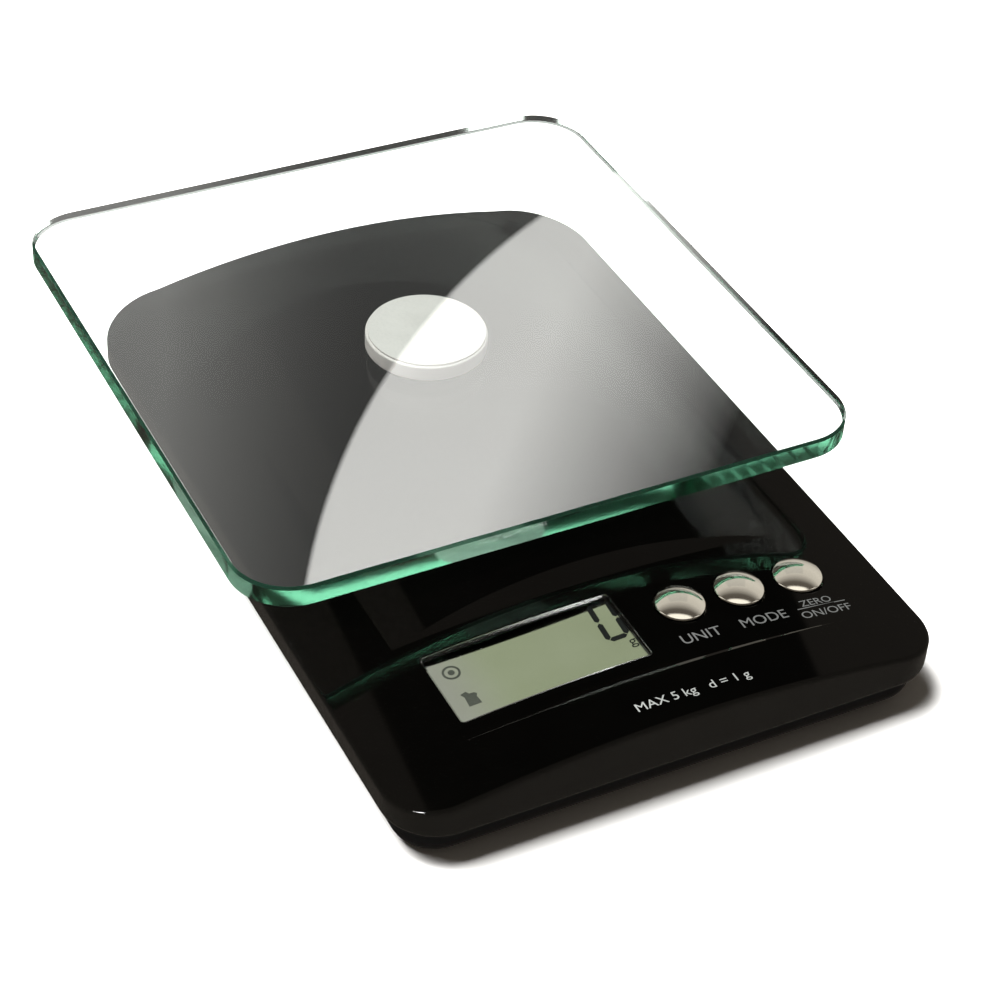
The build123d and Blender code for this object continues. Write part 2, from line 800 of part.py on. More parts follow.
cell_z = floor_top + cell_radius
plate_thickness = 0.4
nub_radius = 1.9
nub_length = 1.0
can_round = 0.5
cell_xs = [bay_x - cell_spacing / 2, bay_x + cell_spacing / 2]
# each cell's positive end: the first points forward, the second points back
cell_ends = [
    (bay_front + plate_thickness, 1),
    (bay_back - plate_thickness, -1),
]

for number, (x, (tip_y, heading)) in enumerate(zip(cell_xs, cell_ends), start=1):
    axis_plane = Plane(origin=(x, tip_y, cell_z), x_dir=(1, 0, 0), z_dir=(0, heading, 0))
    with BuildPart() as battery:
        with BuildSketch(axis_plane):
            Circle(nub_radius)
        extrude(amount=nub_length)
        with BuildSketch(axis_plane.offset(nub_length)):
            Circle(cell_radius)
        extrude(amount=cell_length - nub_length)
        outer = battery.edges().filter_by(GeomType.CIRCLE).sort_by(SortBy.RADIUS)[-2:]
        fillet(outer, can_round)
    save(battery.part, f"battery_{number}")

spring_wire = 0.3
spring_length = bay_back - bay_front - 2 * plate_thickness - cell_length
spring_turns = 4
spring_radius = 2.2
spring_cone = 14               # degrees
with BuildPart() as battery_springs:
    for x, (tip_y, heading) in zip(cell_xs, cell_ends):
        start_y = tip_y + heading * (cell_length + spring_wire)
        with BuildLine() as coil:
            Helix(
                pitch=(spring_length - 2 * spring_wire) / spring_turns,
                height=spring_length - 2 * spring_wire,
                radius=spring_radius,
                center=(x, start_y, cell_z),
                direction=(0, heading, 0),
                cone_angle=spring_cone,
            )
        with BuildSketch(Plane(origin=coil.line @ 0, z_dir=coil.line % 0)):
            Circle(spring_wire)
        sweep(path=coil.line, is_frenet=True)
save(battery_springs.part, "battery_springs")

plate_bottom = 6.5
plate_height = 7.0
plate_width = 8.0
with BuildPart() as battery_terminals:
    # one bridging plate at the back, two single plates at the front
    with BuildSketch(Plane.XY.offset(plate_bottom)):
        with Locations((bay_x, bay_back - plate_thickness / 2)):
            Rectangle(bay_width - 1.0, plate_thickness)
        with Locations(*[(x, bay_front + plate_thickness / 2) for x in cell_xs]):
            Rectangle(plate_width, plate_thickness)
    extrude(amount=plate_height)
save(battery_terminals.part, "battery_terminals")

# ---- battery door ---------------------------------------------------------------

door_top = underside + door_thickness
tab_bottom = floor_top + door_headroom
tab_top = tab_bottom + 0.9
tab_back, tab_front = door_front + 0.3, door_front - 2.3
tab_root = door_front + 1.2
latch_cut = 2.2                # depth of the door's cut-out for its latch
grip_width, grip_groove, grip_pitch, grip_depth = 12.0, 0.8, 2.0, 0.4
grip_y = door_back - 9.0
with BuildPart() as battery_door:
    with BuildSketch(Plane.XY.offset(underside)):
        with Locations((bay_x, (door_front + door_back) / 2)):
            Rectangle(door_width, door_back - door_front)
        with Locations((bay_x, door_back - latch_cut / 2)):
            Rectangle(latch_width + 0.8, latch_cut, mode=Mode.SUBTRACT)
    extrude(amount=door_thickness)
    # two tabs reach over the inside of the shell's floor
    for x in tab_xs:
        with BuildSketch(side_plane(x - tab_width / 2)):
            with BuildLine():
                Polyline(
                    (tab_back, door_top - 0.4),
                    (tab_back, tab_bottom),
                    (tab_front, tab_bottom),
                    (tab_front, tab_top),
                    (tab_root, tab_top),
                    (tab_root, door_top - 0.4),
                    close=True,
                )
            make_face()
        extrude(amount=tab_width)
    # grip ribs across the outside, cut as shallow grooves
    with BuildSketch(Plane.XY.offset(underside)):
        with Locations((bay_x, grip_y)):
            with GridLocations(1, grip_pitch, 1, 4):
                Rectangle(grip_width, grip_groove)
    extrude(amount=grip_depth, mode=Mode.SUBTRACT)
save(battery_door.part, "battery_door")

# U-shaped spring latch: inner leg on the door, bend, outer leg with its hook
leg = 0.8
inner_leg_y = door_back - 3.4
outer_leg_y = door_back - 0.8
hook_low, hook_high = floor_top + 0.2, floor_top + 0.9
hook_reach = 1.0
leg_end = underside + 0.2
bend_z = 8.0
bend_radius = (outer_leg_y + leg - inner_leg_y) / 2
bend_y = inner_leg_y + bend_radius
with BuildPart() as battery_door_latch:
    with BuildSketch(side_plane(bay_x - latch_width / 2)):
        with BuildLine():
            outside = ThreePointArc(
                (inner_leg_y, bend_z), (bend_y, bend_z + bend_radius), (outer_leg_y + leg, bend_z)
            )
            hook = Polyline(
                outside @ 1,
                (outer_leg_y + leg, hook_high + 0.7),
                (outer_leg_y + leg + hook_reach, hook_high),
                (outer_leg_y + leg + hook_reach, hook_low),
                (outer_leg_y + leg, hook_low),
                (outer_leg_y + leg, leg_end),
                (outer_leg_y, leg_end),
                (outer_leg_y, bend_z),
            )
            inside = ThreePointArc(
                hook @ 1, (bend_y, bend_z + bend_radius - leg), (inner_leg_y + leg, bend_z)
            )
            Polyline(inside @ 1, (inner_leg_y + leg, door_top), (inner_leg_y, door_top), outside @ 0)
        make_face()
    extrude(amount=latch_width)
save(battery_door_latch.part, "battery_door_latch")

# ---- inner leads ----------------------------------------------------------------

def lead(name, diameter, points):
    """Insulated wire: straight runs joined by tangent arcs as large as the runs allow."""
    runs = [Vector(*b) - Vector(*a) for a, b in zip(points, points[1:])]
    radii = []
    for before, after in zip(runs, runs[1:]):
        half_turn = radians(before.get_angle(after)) / 2
        radii.append(0.45 * min(before.length, after.length) / tan(half_turn))
    with BuildPart() as wire:
        with BuildLine() as route:
            FilletPolyline(*points, radius=radii)
        with BuildSketch(Plane(origin=route.line @ 0, z_dir=route.line % 0)):
            Circle(diameter / 2)
        sweep(path=route.line)
    print(name, "radii", [round(radius, 1) for radius in radii])
    save(wire.part, name)


gauge_front = beam_middle - gauge_length / 2
lead("load_cell_cable", 1.5, [
    (0, gauge_front, beam_top + 0.85),
    (0, gauge_front - 9, beam_top + 0.85),
    (1.5, gauge_front - 17, beam_top + 0.85),
    (4.5, gauge_front - 26, beam_top - 0.6),
    (7, gauge_front - 34, beam_top - 3.5),
    (8, gauge_front - 41.5, beam_top - 4.5),
    (8, gauge_front - 41.5, board_top),
])
lead_height = 11.5
for name, x, drift in [("red", cell_xs[0], -2.0), ("black", cell_xs[1], 2.5)]:
    lead(f"battery_lead_{name}", 1.2, [
        (x, bay_front - bay_wall, lead_height),
        (x, bay_front - bay_wall - 8, lead_height),
        (x + drift, bay_front - bay_wall - 16, lead_height + 1.0),
        (x + drift, bay_front - bay_wall - 25, lead_height + 3.0),
        (x + 0.6 * drift, bay_front - bay_wall - 34, lead_height + 3.5),
        (x + 0.6 * drift, bay_front - bay_wall - 34, board_top),
    ])
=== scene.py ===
from math import cos, pi, radians, sin

import bpy
from mathutils import Matrix, Vector
from mathutils.bvhtree import BVHTree


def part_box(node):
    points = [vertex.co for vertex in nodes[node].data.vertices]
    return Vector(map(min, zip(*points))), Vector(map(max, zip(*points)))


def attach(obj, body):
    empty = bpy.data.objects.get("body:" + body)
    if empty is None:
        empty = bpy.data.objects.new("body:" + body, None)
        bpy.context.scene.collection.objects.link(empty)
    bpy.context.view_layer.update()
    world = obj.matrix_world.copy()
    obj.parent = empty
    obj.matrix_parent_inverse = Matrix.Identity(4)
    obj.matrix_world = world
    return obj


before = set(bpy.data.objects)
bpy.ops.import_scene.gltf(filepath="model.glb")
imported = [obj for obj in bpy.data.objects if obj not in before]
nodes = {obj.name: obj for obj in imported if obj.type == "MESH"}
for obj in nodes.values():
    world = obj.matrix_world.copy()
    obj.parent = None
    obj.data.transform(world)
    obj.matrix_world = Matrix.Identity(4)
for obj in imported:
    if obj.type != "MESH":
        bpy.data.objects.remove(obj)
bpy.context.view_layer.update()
scene = bpy.context.scene
MM = 0.001

glass_low, glass_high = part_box("glass_plate")


# ---- camera ---------------------------------------------------------------------

camera_azimuth = radians(-29.588)
camera_elevation = radians(39.641)
camera_roll = radians(4.232)
camera_distance = 0.5814
camera_target = Vector((0.0072, -0.0018, 0))
camera_lens, sensor_width = 88.12, 36


def make_camera():
    """The camera, turned to the front left of the scale and tipped a little."""
    data = bpy.data.cameras.new("camera")
    data.lens = camera_lens
    data.sensor_width = sensor_width
    data.clip_start = 0.01
    camera = bpy.data.objects.new("camera", data)
    turn = Matrix.Rotation(camera_azimuth, 4, "Z")
    turn = turn @ Matrix.Rotation(pi / 2 - camera_elevation, 4, "X")
    turn = turn @ Matrix.Rotation(camera_roll, 4, "Z")
    back = turn.to_3x3() @ Vector((0, 0, 1))
    camera.matrix_world = Matrix.Translation(camera_target + camera_distance * back) @ turn
    scene.collection.objects.link(camera)
    scene.camera = camera
    return camera


camera = make_camera()


# ---- node helpers ---------------------------------------------------------------

def new_material(name):
    """An empty node material, with its tree and its main shader."""
    material = bpy.data.materials.new(name)
    material.use_nodes = True
    return material, material.node_tree, material.node_tree.nodes["Principled BSDF"]


def feed(tree, socket, value):
    """Give a socket a number, a colour or another node's output."""
    if isinstance(value, bpy.types.NodeSocket):
        tree.links.new(value, socket)
    else:
        socket.default_value = value


def math(tree, operation, a, b=0.0):
    """One step of arithmetic on numbers or outputs."""
    node = tree.nodes.new("ShaderNodeMath")
    node.operation = operation
    feed(tree, node.inputs[0], a)
    feed(tree, node.inputs[1], b)
    return node.outputs[0]


def rescale(tree, value, low, high, to_low=0.0, to_high=1.0, smooth=False):
    """Take low..high to to_low..to_high, held at both ends."""
    node = tree.nodes.new("ShaderNodeMapRange")
    node.interpolation_type = "SMOOTHSTEP" if smooth else "LINEAR"
    for socket, number in zip(node.inputs[1:5], (low, high, to_low, to_high)):
        socket.default_value = number
    feed(tree, node.inputs[0], value)
    return node.outputs[0]


def mix_colours(tree, factor, first, second):
    """From the first colour at 0 to the second at 1. Sockets 6, 7 and 2 are the colour ones."""
    node = tree.nodes.new("ShaderNodeMix")
    node.data_type = "RGBA"
    feed(tree, node.inputs[0], factor)
    feed(tree, node.inputs[6], first)
    feed(tree, node.inputs[7], second)
    return node.outputs[2]


def place(tree, stretch=(1, 1, 1)):
    """The point's place in the scale's own frame, in metres, stretched along the axes."""
    coordinates = tree.nodes.new("ShaderNodeTexCoord")
    mapping = tree.nodes.new("ShaderNodeMapping")
    mapping.inputs["Scale"].default_value = stretch
    tree.links.new(coordinates.outputs["Object"], mapping.inputs["Vector"])
    return mapping.outputs["Vector"]


def axis_of(tree, vector, axis):
    """The X, Y or Z part of a vector."""
    node = tree.nodes.new("ShaderNodeSeparateXYZ")
    tree.links.new(vector, node.inputs[0])
    return node.outputs["XYZ".index(axis)]


# Noise hardly leaves this range, and the sum of two noises hardly leaves the next one.
noise_low, noise_high = 0.3, 0.7
pair_low, pair_high = 0.7, 1.3


def noise(tree, scale, detail=4.0, stretch=(1, 1, 1)):
    """Smooth noise, with about scale features to a metre."""
    node = tree.nodes.new("ShaderNodeTexNoise")
    node.inputs["Scale"].default_value = scale
    node.inputs["Detail"].default_value = detail
    tree.links.new(place(tree, stretch), node.inputs["Vector"])
    return node.outputs["Fac"]


def bump(tree, shader, height, depth, strength=1.0):
    """Relief of the given depth in metres."""
    node = tree.nodes.new("ShaderNodeBump")
    node.inputs["Distance"].default_value = depth
    feed(tree, node.inputs["Strength"], strength)
    tree.links.new(height, node.inputs["Height"])
    tree.links.new(node.outputs["Normal"], shader.inputs["Normal"])


def shade(colour, factor):
    """A colour made lighter or darker, with its alpha."""
    return (*(min(1.0, c * factor) for c in colour), 1)


# ---- materials ------------------------------------------------------------------

def surface(name, colour, roughness, metallic=0.0, specular=0.5, swing=0.05, mottle=0.15,
            patch=90, grain=1500, depth=8e-6, stretch=(1, 1, 1)):
    """A solid finish: patches of slightly different tone and gloss over a fine grain."""
    material, tree, shader = new_material(name)
    patches = noise(tree, patch, detail=3.0)
    fine = noise(tree, grain, detail=2.0, stretch=stretch)
    tone = rescale(tree, math(tree, "ADD", patches, fine), pair_low, pair_high)
    base = mix_colours(tree, tone, shade(colour, 1 - mottle), shade(colour, 1 + mottle))
    tree.links.new(base, shader.inputs["Base Color"])
    smoothest, roughest = max(0.01, roughness - swing), roughness + swing
    gloss = rescale(tree, patches, noise_low, noise_high, smoothest, roughest)
    tree.links.new(gloss, shader.inputs["Roughness"])
    shader.inputs["Metallic"].default_value = metallic
    shader.inputs["Specular IOR Level"].default_value = specular
    bump(tree, shader, fine, depth)
    return material


# How upright the true normal of clear material is: 0 on an edge, about 0.7 on an arris, 1 on a face.
edge_upright, face_upright = 0.2, 0.9
arris_from, arris_to, arris_blur = 0.5, 0.9, 0.1


def clear_material(name, ior, absorption, density, edge_depth, edge_roughness, arris, arris_colour):
    """Clear glass or plastic: coloured through its depth, wavy only on its edges, with its narrow
    arrises ground a little, and open to lamps."""
    material, tree, shader = new_material(name)
    shader.inputs["Base Color"].default_value = (1, 1, 1, 1)
    shader.inputs["Transmission Weight"].default_value = 1
    shader.inputs["IOR"].default_value = ior
    facing = tree.nodes.new("ShaderNodeNewGeometry")
    upright = math(tree, "ABSOLUTE", axis_of(tree, facing.outputs["True Normal"], "Z"))
    on_edge = rescale(tree, upright, edge_upright, face_upright, 1.0, 0.0)
    bump(tree, shader, noise(tree, 160, detail=3.0, stretch=(1, 1, 2)), edge_depth, on_edge)
    tree.links.new(math(tree, "MULTIPLY", on_edge, edge_roughness), shader.inputs["Roughness"])
    ground = tree.nodes.new("ShaderNodeBsdfPrincipled")
    ground.inputs["Base Color"].default_value = arris_colour
    ground.inputs["Roughness"].default_value = 0.35
    past_edge = rescale(tree, upright, arris_from, arris_from + arris_blur)
    before_face = rescale(tree, upright, arris_to, arris_to - arris_blur)
    on_arris = math(tree, "MULTIPLY", past_edge, before_face)
    body = tree.nodes.new("ShaderNodeMixShader")
    tree.links.new(math(tree, "MULTIPLY", on_arris, arris), body.inputs[0])
    tree.links.new(shader.outputs[0], body.inputs[1])
    tree.links.new(ground.outputs[0], body.inputs[2])
    path = tree.nodes.new("ShaderNodeLightPath")
    open_to_lamps = tree.nodes.new("ShaderNodeBsdfTransparent")
    open_to_lamps.inputs["Color"].default_value = (0.93, 0.95, 0.94, 1)
    either = tree.nodes.new("ShaderNodeMixShader")
    tree.links.new(path.outputs["Is Shadow Ray"], either.inputs[0])
    tree.links.new(body.outputs[0], either.inputs[1])
    tree.links.new(open_to_lamps.outputs[0], either.inputs[2])
    depth = tree.nodes.new("ShaderNodeVolumeAbsorption")
    depth.inputs["Color"].default_value = absorption
    depth.inputs["Density"].default_value = density
    output = tree.nodes["Material Output"]
    tree.links.new(either.outputs[0], output.inputs["Surface"])
    tree.links.new(depth.outputs[0], output.inputs["Volume"])
    return material


def display_material(name):
    """The display's reflective back: olive grey with a fine sparkle, and a painted reflection that turns
    it greyer to the left.
    """
    material, tree, shader = new_material(name)
    low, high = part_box("lcd_glass")
    # Painted reflection: the display's colour turns grey towards its left edge, over about a third of
    # its width.
    reflection_share = 0.35
    grey_end = low.x + reflection_share * (high.x - low.x)
    dark_olive, light_olive = (0.175, 0.195, 0.118, 1), (0.205, 0.225, 0.138, 1)
    painted_reflection_grey = (0.20, 0.20, 0.165, 1)
    left = rescale(tree, axis_of(tree, place(tree), "X"), low.x, grey_end, 1.0, 0.0, smooth=True)
    olive = mix_colours(tree, noise(tree, 2500, detail=2.0), dark_olive, light_olive)
    tree.links.new(mix_colours(tree, left, olive, painted_reflection_grey), shader.inputs["Base Color"])
    gloss = rescale(tree, noise(tree, 60), noise_low, noise_high, 0.28, 0.4)
    tree.links.new(gloss, shader.inputs["Roughness"])
    bump(tree, shader, noise(tree, 4000, detail=1.0), depth=2e-6)
    return material


def board_material(name):
    """Green solder mask over thin tracks."""
    material, tree, shader = new_material(name)
    dark_mask, light_mask = (0.008, 0.07, 0.025, 1), (0.012, 0.10, 0.035, 1)
    track_green = (0.03, 0.22, 0.08, 1)
    tracks = tree.nodes.new("ShaderNodeTexBrick")
    tracks.inputs["Scale"].default_value = 220
    tracks.inputs["Mortar Size"].default_value = 0.05
    tree.links.new(place(tree), tracks.inputs["Vector"])
    mask = mix_colours(tree, noise(tree, 300), dark_mask, light_mask)
    green = mix_colours(tree, tracks.outputs["Fac"], mask, track_green)
    tree.links.new(green, shader.inputs["Base Color"])
    gloss = rescale(tree, noise(tree, 500), noise_low, noise_high, 0.25, 0.4)
    tree.links.new(gloss, shader.inputs["Roughness"])
    bump(tree, shader, tracks.outputs["Fac"], depth=3e-5)
    return material


def battery_material(name, node, positive_at_back):
    """A printed cell: steel ends, a dark wrap and a copper band at the positive end."""
    material, tree, shader = new_material(name)
    steel, wrap, copper = (0.62, 0.61, 0.58, 1), (0.02, 0.05, 0.09, 1), (0.62, 0.28, 0.12, 1)
    scuffed = (0.45, 0.45, 0.45, 1)
    wrap_start, band_start, band_end = 0.015, 0.7, 0.965
    low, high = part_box(node)
    along = axis_of(tree, place(tree), "Y")
    ends = (0.0, 1.0) if positive_at_back else (1.0, 0.0)
    ramp = tree.nodes.new("ShaderNodeValToRGB")
    ramp.color_ramp.interpolation = "CONSTANT"
    stops = ramp.color_ramp.elements
    stops[0].color = steel
    stops[1].position = wrap_start
    stops[1].color = wrap
    stops.new(band_start).color = copper
    stops.new(band_end).color = steel
    tree.links.new(rescale(tree, along, low.y, high.y, *ends), ramp.inputs[0])
    scuffs = rescale(tree, noise(tree, 700, detail=5.0), 0.55, 0.75, 0.0, 0.25)
    print_colour = mix_colours(tree, scuffs, ramp.outputs["Color"], scuffed)
    tree.links.new(print_colour, shader.inputs["Base Color"])
    shader.inputs["Metallic"].default_value = 0.6
    gloss = rescale(tree, noise(tree, 200), noise_low, noise_high, 0.22, 0.36)
    tree.links.new(gloss, shader.inputs["Roughness"])
    bump(tree, shader, noise(tree, 900, detail=2.0), depth=4e-6)
    return material


def wear(node_names, material):
    """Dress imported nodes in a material."""
    for name in node_names:
        mesh = nodes[name].data
        mesh.materials.clear()
        mesh.materials.append(material)


switch_names = [n for n in nodes if n.startswith("tact_switch") or n.startswith("switch_plunger")]
foot_names = [n for n in nodes if n.startswith("foot_")]
button_names = [n for n in nodes if n.startswith("button_cap")]

cover_black = surface("cover_gloss_black", (0.0042, 0.0040, 0.0034), 0.05, swing=0.015, patch=25,
                      grain=110, depth=4e-7)
wear(["top_cover"], cover_black)
shell_black = surface("shell_satin_black", (0.0040, 0.0040, 0.0042), 0.42, specular=0.15, grain=2200,
                      depth=5e-6)
wear(["bottom_shell", "battery_door", "battery_door_latch"], shell_black)
# The glass's arrises are ground, and their dark green is painted shade: it stands in for the dark line
# that internal reflection gives a glass edge.
glass_clear = clear_material("platform_glass", ior=1.52, absorption=(0.06, 0.57, 0.36, 1), density=14.0,
                             edge_depth=8e-6, edge_roughness=0.1, arris=0.75,
                             arris_colour=(0.035, 0.15, 0.095, 1))
wear(["glass_plate"], glass_clear)
window_clear = clear_material("window_plastic", ior=1.49, absorption=(0.6, 0.7, 0.6, 1), density=3.0,
                              edge_depth=1e-5, edge_roughness=0.2, arris=0.3,
                              arris_colour=(0.5, 0.5, 0.5, 1))
wear(["display_window"], window_clear)
wear(["lcd_glass"], display_material("display_back"))
wear(["main_board"], board_material("board_green"))
wear(["battery_1"], battery_material("battery_1_wrap", "battery_1", True))
wear(["battery_2"], battery_material("battery_2_wrap", "battery_2", False))
wear(button_names, surface("button_satin_chrome", (0.74, 0.71, 0.64), 0.09, metallic=1.0, swing=0.02,
                           mottle=0.04, grain=3500, depth=1.5e-6))
wear(["platform_puck"], surface("puck_white", (0.69, 0.62, 0.60), 0.38, specular=0.4, mottle=0.03,
                                grain=2600, depth=6e-6))
wear(["glass_adhesive"], surface("adhesive_foam", (0.70, 0.63, 0.61), 0.6, mottle=0.05, grain=1800,
                                 depth=4e-5))
wear(["platform_hub"], surface("hub_black", (0.010, 0.010, 0.010), 0.4, grain=1800, depth=1.2e-5))
wear(foot_names, surface("foot_rubber", (0.016, 0.016, 0.016), 0.75, specular=0.3, mottle=0.3,
                         grain=2600, depth=3e-5))
wear(["lcd_holder"], surface("holder_plastic", (0.62, 0.62, 0.58), 0.5, grain=1500, depth=1e-5))
wear(["load_cell"], surface("cell_aluminium", (0.72, 0.73, 0.75), 0.3, metallic=1.0, mottle=0.06,
                            grain=900, depth=6e-6, stretch=(12, 1, 12)))
wear(["load_cell_spacer", "load_cell_screws", "hub_screws", "cover_screws", "board_screws"],
     surface("zinc_plated_steel", (0.58, 0.59, 0.60), 0.32, metallic=1.0, mottle=0.12, patch=400,
             grain=2500, depth=8e-6))
wear(["battery_springs", "battery_terminals", "lcd_pins"],
     surface("nickel_plated_steel", (0.66, 0.64, 0.59), 0.22, metallic=1.0, mottle=0.08, patch=300,
             grain=3000, depth=3e-6))
wear(["strain_gauge_covers"], surface("gauge_silicone", (0.68, 0.68, 0.65), 0.45, mottle=0.06, patch=300,
                                      grain=500, depth=6e-5))
wear(["chip_blob"], surface("chip_epoxy", (0.008, 0.008, 0.008), 0.14, patch=200, grain=300, depth=4e-5))
wear(["board_components"] + switch_names,
     surface("component_body", (0.05, 0.045, 0.04), 0.4, mottle=0.4, patch=250, grain=2500, depth=1e-5))
wear(["load_cell_cable"], surface("cable_grey", (0.22, 0.22, 0.23), 0.5, grain=2500, depth=1e-5))
wear(["battery_lead_red"], surface("lead_red", (0.42, 0.012, 0.010), 0.45, grain=2500, depth=1e-5))
wear(["battery_lead_black"], surface("lead_black", (0.012, 0.012, 0.012), 0.45, grain=2500, depth=1e-5))

print_grey = surface("panel_print", (0.15, 0.155, 0.15), 0.55, mottle=0.12, grain=4000, depth=4e-6)
print_white = surface("panel_print_bright", (0.42, 0.44, 0.42), 0.5, mottle=0.1, grain=4000, depth=4e-6)
segment_dark = surface("display_segments", (0.004, 0.005, 0.004), 0.5, specular=0.2, mottle=0.3,
                       grain=3000, depth=1e-6)
icon_dark = surface("display_icons", (0.055, 0.060, 0.045), 0.4, mottle=0.3, grain=3000, depth=1e-6)


# ---- printed panel lettering ----------------------------------------------------

print_thickness = 0.02 * MM
print_lift = 0.03 * MM
cover_tree = BVHTree.FromPolygons([v.co for v in nodes["top_cover"].data.vertices],
                                  [p.vertices for p in nodes["top_cover"].data.polygons])


def on_cover(point):
    """Lay a flat print on the cover: x and y stay, the height follows the surface."""
    above = Vector((point.x, point.y, glass_low.z))
    hit = cover_tree.ray_cast(above, Vector((0, 0, -1)))[0]
    return Vector((point.x, point.y, hit.z + print_lift + point.z))


def piece_from(curve, name, material, settle):
    """Turn a filled curve into a thin solid piece, laid where settle puts it."""
    source = bpy.data.objects.new(name + "_outline", curve)
    scene.collection.objects.link(source)
    bpy.context.view_layer.update()
    evaluated = source.evaluated_get(bpy.context.evaluated_depsgraph_get())
    mesh = bpy.data.meshes.new_from_object(evaluated)
    bpy.data.objects.remove(source)
    for vertex in mesh.vertices:
        vertex.co = settle(vertex.co)
    mesh.name = name
    mesh.materials.clear()
    mesh.materials.append(material)
    piece = bpy.data.objects.new(name, mesh)
    scene.collection.objects.link(piece)
    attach(piece, "base")


def words(name, body, centre, width, height, settle, material=print_grey):
    """A line of lettering stretched to the given width and height, centred on a point."""
    curve = bpy.data.curves.new(name, "FONT")
    curve.body = body
    curve.align_x = "CENTER"
    curve.resolution_u = 4
    curve.size = 1
    curve.extrude = print_thickness / 2
    probe = bpy.data.objects.new(name + "_probe", curve)
    scene.collection.objects.link(probe)
    bpy.context.view_layer.update()
    own_width, own_height = probe.dimensions.x, probe.dimensions.y
    left, bottom = probe.bound_box[0][0], probe.bound_box[0][1]
    bpy.data.objects.remove(probe)

    def fitted(point):
        x = centre[0] + ((point.x - left) / own_width - 0.5) * width
        y = centre[1] + ((point.y - bottom) / own_height - 0.5) * height
        return settle(Vector((x, y, point.z)))

    piece_from(curve, name, material, fitted)


def flat_shape(name, outlines, settle, material):
    """A flat mark from closed outlines; an outline inside another is a hole."""
    curve = bpy.data.curves.new(name, "CURVE")
    curve.dimensions = "2D"
    curve.fill_mode = "BOTH"
    curve.extrude = print_thickness / 2
    for outline in outlines:
        spline = curve.splines.new("POLY")
        spline.points.add(len(outline) - 1)
        for point, (x, y) in zip(spline.points, outline):
            point.co = (x, y, 0, 1)
        spline.use_cyclic_u = True
    piece_from(curve, name, material, settle)


def button_centre(name):
    """The middle of a button cap's box."""
    low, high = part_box("button_cap_" + name)
    return (low + high) / 2


unit_at, zero_at = button_centre("unit"), button_centre("zero")
label_y = unit_at.y - 10.2 * MM

# Each label's text and button, how far it sits to the right of it and above label_y, and its width
# and height, in millimetres.
labels = {
    "label_unit": ("UNIT", "unit", -0.6, 0, 9.6, 2.7),
    "label_mode": ("MODE", "mode", 0.2, 0, 11.5, 2.7),
    "label_zero": ("ZERO", "zero", -0.8, 1.6, 7.9, 1.9),
    "label_on_off": ("ON/OFF", "zero", -0.1, -1.9, 12.7, 2.1),
}
for name, (body, button, right, above, width, height) in labels.items():
    centre = (button_centre(button).x + right * MM, label_y + above * MM)
    words(name, body, centre, width * MM, height * MM, on_cover)

line_half, line_height, line_steps = 6.2 * MM, 0.25 * MM, 10
line_left, line_y = zero_at.x - 0.1 * MM - line_half, label_y + 0.05 * MM
steps = [line_left + 2 * line_half * i / line_steps for i in range(line_steps + 1)]
label_line = [(x, line_y) for x in steps] + [(x, line_y + line_height) for x in reversed(steps)]
flat_shape("label_line", [label_line], on_cover, print_grey)

capacity_centre = (unit_at.x - 11 * MM, unit_at.y - 24.8 * MM)
capacity_width, capacity_height = 27.0 * MM, 3.0 * MM
words("label_capacity", "MAX 5 kg   d = 1 g", capacity_centre, capacity_width, capacity_height,
      on_cover, print_white)


# ---- display marks --------------------------------------------------------------

def display_frame():
    """The display's upper face: its middle and its own right, up and outward directions."""
    mesh = nodes["lcd_glass"].data
    nearly_up = 0.9
    top = [p for p in mesh.polygons if p.normal.z > nearly_up]
    middle = sum((p.center * p.area for p in top), Vector()) / sum(p.area for p in top)
    outward = top[0].normal.normalized()
    right = Vector((1, 0, 0))
    right = (right - outward * right.dot(outward)).normalized()
    return middle, right, outward.cross(right), outward


display_middle, display_right, display_up, display_out = display_frame()


def on_display(point):
    """Lay a flat mark on the display's upper face."""
    flat = display_middle + display_right * point.x + display_up * point.y
    return flat + display_out * (point.z + print_thickness)


digit_width, digit_height, stroke = 4.4 * MM, 12.6 * MM, 1.3 * MM
digit_middle = Vector((19.35 * MM, 4.4 * MM))
bar_gap = 0.12 * MM
slant = 0.07


def segment(start, end):
    """One bar of a digit, pointed at both ends and leaning with the digit."""
    start, end = Vector(start), Vector(end)
    along = (end - start).normalized()
    side = Vector((-along.y, along.x)) * stroke / 2
    start, end = start + along * bar_gap, end - along * bar_gap
    shoulder = along * stroke / 2
    corners = [start, start + shoulder + side, end - shoulder + side, end,
               end - shoulder - side, start + shoulder - side]
    return [(digit_middle.x + c.x + slant * c.y, digit_middle.y + c.y) for c in corners]


half_w, half_h = digit_width / 2, digit_height / 2 - stroke / 2
zero_bars = [
    segment((-half_w, half_h), (half_w, half_h)),
    segment((half_w, half_h), (half_w, 0)),
    segment((half_w, 0), (half_w, -half_h)),
    segment((half_w, -half_h), (-half_w, -half_h)),
    segment((-half_w, -half_h), (-half_w, 0)),
    segment((-half_w, 0), (-half_w, half_h)),
]
flat_shape("display_digit", zero_bars, on_display, segment_dark)
gram_middle, gram_width, gram_height = (21.0 * MM, -4.2 * MM), 1.7 * MM, 2.5 * MM
words("display_gram", "g", gram_middle, gram_width, gram_height, on_display, segment_dark)


def circle(x, y, radius, sides=32):
    """A closed outline of many short sides."""
    turns = [2 * pi * i / sides for i in range(sides)]
    return [(x + radius * cos(a), y + radius * sin(a)) for a in turns]


target_x, target_y = -17.3 * MM, 5.2 * MM
ring_outer, ring_inner, dot_radius = 2.0 * MM, 1.5 * MM, 0.75 * MM
target = [circle(target_x, target_y, radius) for radius in (ring_outer, ring_inner, dot_radius)]
flat_shape("display_target_icon", target, on_display, icon_dark)

